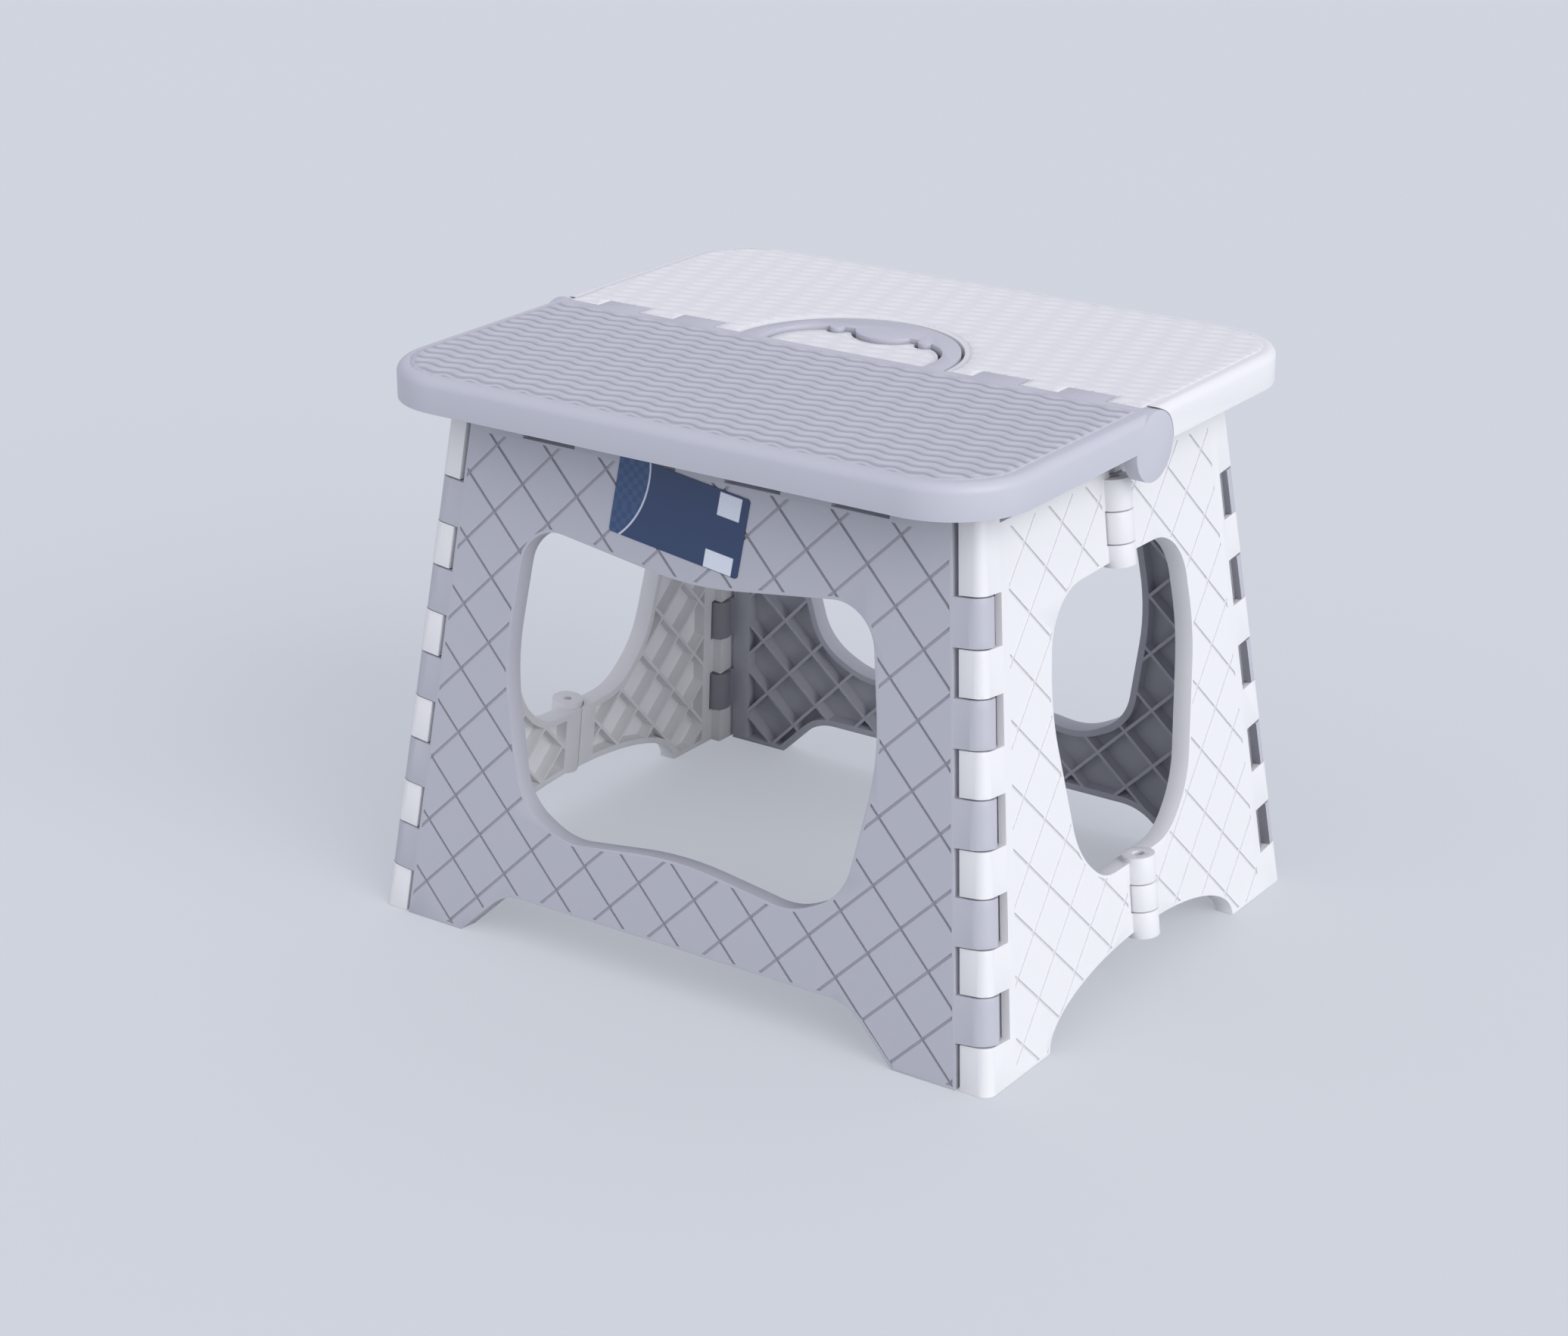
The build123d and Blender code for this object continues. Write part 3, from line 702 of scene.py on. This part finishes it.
@dataclass
class Tread:
    """Wavy raised ridges of the seat's surface.

    Attributes:
        top: Height of the seat's surface.
        length, depth, corner: Size of the seat and radius of its corners.
        pitch: Distance between ridges.
        wave: Length of one wave along a ridge.
        sway: How far a ridge swings to each side.
        lag: Turn of the wave from one ridge to the next.
        height: Height of a ridge.
        fullness: How much wider the ridges are than the troughs, 1 for the same.
        border, seam: Plain edge around the ridges and along the seam.
        fade: Length over which the ridges rise.
        trough_shade: How much painted shade darkens the troughs.
        trough_span: Where that shade starts and is full, in shares of the height.
        step_x, rows_per_ridge: Fineness of the mesh.
        proud, sunk: How far a pad's floor stands above the surface and its walls go down.
    """

    top: float
    length: float = 288 * MM
    depth: float = 250 * MM
    corner: float = 35 * MM
    pitch: float = 6.6 * MM
    wave: float = 13 * MM
    sway: float = 0.8 * MM
    lag: float = 0.9
    height: float = 0.9 * MM
    fullness: float = 1.4
    border: float = 6.0 * MM
    seam: float = 5.5 * MM
    fade: float = 2.2 * MM
    trough_shade: float = 0.3
    trough_span: Span = (0.75, 0.05)
    step_x: float = 1.0 * MM
    rows_per_ridge: int = 8
    proud: float = 0.02 * MM
    sunk: float = 0.4 * MM

    def rim_distance(self, x: float, y: float) -> float:
        """Distance inside the seat's rounded outline.

        Args:
            x, y: The point.

        Returns:
            The distance, negative outside.
        """
        over_x = abs(x) - (self.length / 2 - self.corner)
        over_y = abs(y) - (self.depth / 2 - self.corner)
        outside = math.hypot(max(over_x, 0.0), max(over_y, 0.0)) + min(max(over_x, over_y), 0.0)
        return self.corner - outside

    def trough(self, bench: Bench, place: Field) -> Field:
        """Share of painted shade in the troughs of the front half, none on the plain border.

        Args:
            bench: The material's nodes.
            place: Object coordinates.

        Returns:
            1 in the troughs and 0 on the ridges and the border.
        """
        x, y, z = (bench.along(place, axis) for axis in ((1, 0, 0), (0, 1, 0), (0, 0, 1)))
        over_x = abs(x) - (self.length / 2 - self.corner)
        over_y = abs(y) - (self.depth / 2 - self.corner)
        past_x, past_y = over_x.at_least(0.0), over_y.at_least(0.0)
        outside = (past_x * past_x + past_y * past_y).math("SQRT") + over_x.at_least(over_y).at_most(0.0)
        inside = (self.corner - self.border) - outside
        ridged = inside.at_most(-1.0 * y - self.seam).step(0.0, self.fade)
        start, full = (share * self.height for share in self.trough_span)
        return (z - self.top).step(start, full) * ridged

    def pad(self, name: str, span: Span, half: float, room: Callable[[float, float], float],
            top: float, share_of_height: float = 1.0) -> bpy.types.Mesh:
        """Build one ridged pad, sunk a little into what carries it.

        Args:
            name: The mesh's name.
            span: Its range in Y.
            half: Its half length in X.
            room: Distance of a point inside the ridged area.
            top: Height of the surface that carries it.
            share_of_height: Height of its ridges as a share of the usual height.

        Returns:
            The mesh.
        """
        low, high = span
        columns = int(2 * half / self.step_x)
        rows = int((high - low) / self.pitch * self.rows_per_ridge)
        shape = bmesh.new()
        size = Matrix.Diagonal((half, (high - low) / 2, 1, 1))
        place = Matrix.Translation((0, (low + high) / 2, top)) @ size
        bmesh.ops.create_grid(shape, x_segments=columns, y_segments=rows, size=1.0, matrix=place)
        fade: dict[bmesh.types.BMVert, float] = {}
        for vert in shape.verts:
            x, y = vert.co.x, vert.co.y
            row = y / self.pitch
            lift = 1 - (0.5 - 0.5 * math.cos(2 * math.pi * row)) ** self.fullness
            turn = 2 * math.pi * x / self.wave + self.lag * math.floor(row + 0.5)
            y += self.sway * math.sin(turn)
            share = min(max(room(x, y) / self.fade, 0.0), 1.0)
            fade[vert] = share
            vert.co.y = y
            vert.co.z = top + self.proud + self.height * share_of_height * lift * share
        bare = [face for face in shape.faces if all(fade[vert] == 0.0 for vert in face.verts)]
        bmesh.ops.delete(shape, geom=bare, context="FACES")
        for face in shape.faces:
            face.smooth = True
        rim = [edge for edge in shape.edges if edge.is_boundary]
        walls = bmesh.ops.extrude_edge_only(shape, edges=rim)["geom"]
        feet = [item for item in walls if isinstance(item, bmesh.types.BMVert)]
        bmesh.ops.translate(shape, verts=feet, vec=(0, 0, -self.sunk))
        bmesh.ops.edgeloop_fill(shape, edges=[edge for edge in shape.edges if edge.is_boundary])
        bmesh.ops.recalc_face_normals(shape, faces=shape.faces)
        return finished_mesh(shape, name)


@dataclass
class Seat:
    """The two seat halves, their ridges and the carrying handle.

    Attributes:
        tread: The ridges.
        white_share: Height of the white ridges as a share of the grey ones.
        round_by: Radius of the halves' rounded edges.
        grey_from, white_from: Where the grey and the white pads start beside the seam.
        white_seam: Plain edge of the white half along the seam.
        pocket_half, pocket_reach, pocket_border: The handle's pocket and the plain edge around it.
        tooth_reach, tooth_middles, tooth_half, tooth_border: The seam's grey teeth and the plain
            edge around them.
        ear_half, ear_reach: Where the ridges end beside the ears.
        island_half, island_reach, island_drop: The island in the handle and its depth.
        lobe_at, lobe_radius: The middle finger lobe.
        bump_at, bump_radius: The bumps beside it.
        island_border, island_seam: Plain edge of the island, and how far it starts from the seam.
        grey, white: The finishes.
    """

    tread: Tread = field(default_factory=lambda: Tread(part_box("top_back")[1].z))
    white_share: float = 0.65
    round_by: float = 0.5 * MM
    grey_from: float = -5 * MM
    white_from: float = 1 * MM
    white_seam: float = 1.5 * MM
    pocket_half: float = 50.0 * MM
    pocket_reach: float = 50.5 * MM
    pocket_border: float = 3 * MM
    tooth_reach: float = 8.6 * MM
    tooth_middles: Span = (72.8 * MM, 111.5 * MM)
    tooth_half: float = 10.9 * MM
    tooth_border: float = 1 * MM
    ear_half: float = 136.5 * MM
    ear_reach: float = 19 * MM
    island_half: float = 37.7 * MM
    island_reach: float = 29.7 * MM
    island_drop: float = 1.6 * MM
    lobe_at: float = 37.8 * MM
    lobe_radius: float = 16.4 * MM
    bump_at: Span = (21.5 * MM, 30.4 * MM)
    bump_radius: float = 5 * MM
    island_border: float = 1.2 * MM
    island_seam: float = 0.3 * MM
    grey: MouldedPlastic = MouldedPlastic("grey_plastic", srgb(188, 189, 198), tone=0.02)
    white: MouldedPlastic = MouldedPlastic("white_plastic", srgb(222, 222, 223), 0.58, 0.28, tone=0.012)

    def front_room(self, x: float, y: float) -> float:
        """Distance of a point inside the grey ridged area."""
        return min(self.tread.rim_distance(x, y) - self.tread.border, -y - self.tread.seam)

    def back_room(self, x: float, y: float) -> float:
        """Distance of a point inside the white ridged area.

        Args:
            x, y: The point.

        Returns:
            The distance, negative outside.
        """
        away = min(self.tread.rim_distance(x, y) - self.tread.border, y - self.white_seam)
        oval_x, oval_y = self.pocket_half + self.pocket_border, self.pocket_reach + self.pocket_border
        pocket = math.hypot(x / oval_x, y / oval_y) - 1
        away = min(away, pocket * self.pocket_reach)
        for middle in self.tooth_middles:
            beside = abs(abs(x) - middle) - self.tooth_half
            away = min(away, max(beside, y - self.tooth_reach) - self.tooth_border)
        return min(away, self.ear_half - abs(x)) if y < self.ear_reach else away

    def island_room(self, x: float, y: float) -> float:
        """Distance of a point inside the ridged area of the island in the handle.

        Args:
            x, y: The point.

        Returns:
            The distance, negative outside.
        """
        oval = 1 - (abs(x / self.island_half) ** 3 + abs(y / self.island_reach) ** 3) ** (1 / 3)
        lobe = math.hypot(x, y - self.lobe_at) - self.lobe_radius
        bump = math.hypot(abs(x) - self.bump_at[0], y - self.bump_at[1]) - self.bump_radius
        return min(oval * self.island_reach, lobe, bump, y - self.island_seam) - self.island_border

    def build(self) -> None:
        """Make the halves and their ridges."""
        grey = self.grey.material("_seat")
        # The grey ridges get painted shade in their troughs.
        ridged = self.grey.material("_ridges", tread=self.tread)
        white = self.white.material("_seat")
        Moulding("top_front", Slot.GREY, self.round_by).dress(grey)
        Moulding("top_back", Slot.WHITE, self.round_by).dress(white)
        tread = self.tread
        half, far = tread.length / 2 - tread.border, tread.depth / 2 - tread.border
        name = "seat_ridges_grey"
        pad = tread.pad(name, (-far, self.grey_from), half, self.front_room, tread.top)
        new_piece(name, pad, ridged, "top_front")
        name = "seat_ridges_white"
        pad = tread.pad(name, (self.white_from, far), half, self.back_room, tread.top, self.white_share)
        new_piece(name, pad, white, "top_back")
        name = "island_ridges"
        pad = tread.pad(name, (self.white_from, self.island_reach), self.island_half, self.island_room,
                        tread.top - self.island_drop, self.white_share)
        new_piece(name, pad, white, "top_back")


@dataclass
class Sides:
    """The two grey panels and the four white leaves.

    Attributes:
        half_x, half_y: Half the length and depth of the stool's foot.
        panel_cell, leaf_cell: Where a cell of the diamond lattice is centred on each face.
        grey, white: The finishes.
    """

    half_x: float = 150 * MM
    half_y: float = 120.5 * MM
    panel_cell: Span = (-3.6 * MM, 16.0 * MM)
    leaf_cell: Span = (1.8 * MM, 11.5 * MM)
    # The grey panels get painted shade on their lattice lines, hinge barrels and pockets' floors.
    grey: MouldedPlastic = MouldedPlastic("grey_plastic", srgb(179, 180, 188), tone=0.02)
    # The white leaves get painted shade on lines falling to the right, and painted light on the other lines
    # and the pockets' floors.
    white: MouldedPlastic = MouldedPlastic("white_plastic", srgb(223, 223, 224), tone=0.012,
                                           line_shade=0.13, faint_shade=-0.16, pit_shade=0.0,
                                           pocket_shade=-0.14)

    def build(self) -> None:
        """Make the panels and leaves."""
        for name, side in (("front_panel", -1), ("back_panel", 1)):
            face = Face((0, side * self.half_y, 0), (0, side, PANEL_LEAN), (1, 0, 0), self.panel_cell)
            Moulding(name, Slot.GREY).dress(self.grey.material(f"_{name}", face))
        for end, side in (("left", -1), ("right", 1)):
            face = Face((side * self.half_x, 0, 0), (side, 0, LEAF_LEAN), (0, 1, 0), self.leaf_cell)
            finish = self.white.material(f"_{end}_leaf", face)
            for half in ("front", "back"):
                Moulding(f"{end}_{half}_leaf", Slot.WHITE).dress(finish)


@dataclass
class Fittings:
    """The hinge rods and the blank sticker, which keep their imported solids.

    Attributes:
        rods: The rods' nodes.
        turn: The sticker's tilt on the front panel.
    """

    rods: tuple[str, ...] = (
        "front_panel_rod", "back_panel_rod", "seam_rod_left", "seam_rod_right", "corner_rod_front_left",
        "corner_rod_front_right", "corner_rod_back_left", "corner_rod_back_right", "left_pin_lower",
        "left_pin_upper", "right_pin_lower", "right_pin_upper")
    turn: float = math.radians(-7)

    def build(self) -> None:
        """Finish the rods and the sticker."""
        steel = DrawnSteel().material()
        for name in self.rods:
            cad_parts[name].material_slots[0].material = steel
            log.info("%s finished in steel", name)
        low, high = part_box("label")
        out = Vector((0, -1, PANEL_LEAN)).normalized()
        across = Matrix.Rotation(self.turn, 3, out) @ Vector((1, 0, 0))
        sticker = Sticker(tuple((low + high) / 2), tuple(across), tuple(out.cross(across)))
        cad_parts["label"].material_slots[0].material = sticker.material()
        log.info("label finished as a blank sticker")


@dataclass(frozen=True)
class Lamp:
    """One broad, far lamp that faces the stool.

    Attributes:
        name: The lamp's name.
        place: The direction it shines from.
        spread: How broad it looks from the stool, in degrees.
        level: Brightness of a white surface that faces it.
    """

    name: str
    place: Point
    spread: float
    level: float

    def hang(self) -> None:
        """Put the lamp in the scene."""
        lamp = bpy.data.lights.new(self.name, "SUN")
        lamp.angle = math.radians(self.spread)
        lamp.energy = math.pi * self.level
        holder = bpy.data.objects.new(self.name, lamp)
        holder.location = self.place
        holder.rotation_euler = (-Vector(self.place)).to_track_quat("-Z", "Y").to_euler()
        bpy.context.scene.collection.objects.link(holder)


@dataclass
class Studio:
    """Pale floor, soft light and the camera at the photograph's angle.

    Attributes:
        ground: Colour of the background.
        floor: Colour of the floor itself.
        shadow_lift: Share of the background's colour in the floor that the camera sees.
        air, air_level: Colour and strength of the light from all round.
        lamps: The lamps.
        eye, target: Where the camera stands and looks.
        lens, sensor: The camera's focal length and picture width, in millimetres.
        floor_radius, floor_drop: Size of the floor, and how far it lies under the stool.
        floor_cloud: How much the floor's tone varies.
    """

    ground: Colour = srgb(208, 212, 222)
    floor: Colour = srgb(213, 216, 217)
    shadow_lift: float = 0.5
    air: Colour = (0.86, 0.875, 1.0)
    air_level: float = 0.76
    lamps: tuple[Lamp, ...] = (Lamp("key_lamp", (3.4, -1.0, 1.75), 50, 0.61),
                               Lamp("fill_lamp", (-1.8, -3.0, 1.9), 60, 0.06))
    eye: Point = (0.7071, -1.0523, 0.5995)
    target: Point = (-0.02714, 0.0, 0.09558)
    lens: float = 75.34
    sensor: float = 36.0
    floor_radius: float = 6.0
    floor_drop: float = 0.2 * MM
    floor_cloud: float = 0.02

    def _floor(self) -> None:
        """Lay the pale floor."""
        shape = bmesh.new()
        bmesh.ops.create_circle(shape, cap_ends=True, segments=64, radius=self.floor_radius)
        mesh = finished_mesh(shape, "studio_floor")
        floor = bpy.data.objects.new("studio_floor", mesh)
        floor.location.z = -self.floor_drop
        bpy.context.scene.collection.objects.link(floor)
        bench = Bench(bpy.data.materials.new("studio_floor"))
        cloud = bench.noise(bench.place(), 3.0, 2.0)
        tone = bench.mix(cloud * self.floor_cloud, self.floor, (1.0, 1.0, 1.0))
        lit = bench.node("ShaderNodeBsdfPrincipled", None,
                         {"Base Color": tone, "Roughness": 0.9, "Specular IOR Level": 0.1})
        plain = bench.node("ShaderNodeEmission", None, {"Color": (*self.ground, 1.0)})
        bench.camera_mix(self.shadow_lift, lit, plain, "ShaderNodeOutputMaterial")
        mesh.materials.append(bench.holder)

    def _world(self) -> None:
        """Fill the room with soft light and show the ground's colour behind the stool."""
        bench = Bench(bpy.data.worlds.new("studio_world"))
        bpy.context.scene.world = bench.holder
        light = bench.node("ShaderNodeBackground", None,
                           {"Color": (*self.air, 1.0), "Strength": self.air_level})
        seen = bench.node("ShaderNodeBackground", None, {"Color": (*self.ground, 1.0)})
        bench.camera_mix(1.0, light, seen, "ShaderNodeOutputWorld")

    def _camera(self) -> None:
        """Stand the camera at the photograph's angle."""
        camera = bpy.data.cameras.new("photo_camera")
        camera.lens = self.lens
        camera.sensor_width = self.sensor
        holder = bpy.data.objects.new("photo_camera", camera)
        holder.location = self.eye
        view = Vector(self.target) - Vector(self.eye)
        holder.rotation_euler = view.to_track_quat("-Z", "Y").to_euler()
        bpy.context.scene.collection.objects.link(holder)
        bpy.context.scene.camera = holder
        bpy.context.scene.view_settings.view_transform = "Standard"

    def build(self) -> None:
        """Make the floor, the light and the camera."""
        self._floor()
        self._world()
        for lamp in self.lamps:
            lamp.hang()
        self._camera()
        log.info("studio ready")


def main() -> None:
    """Dress the stool and its studio."""
    logging.basicConfig(level=logging.INFO, format="%(name)s: %(message)s")
    Seat().build()
    Sides().build()
    Fittings().build()
    Studio().build()


if __name__ == "__main__":
    main()
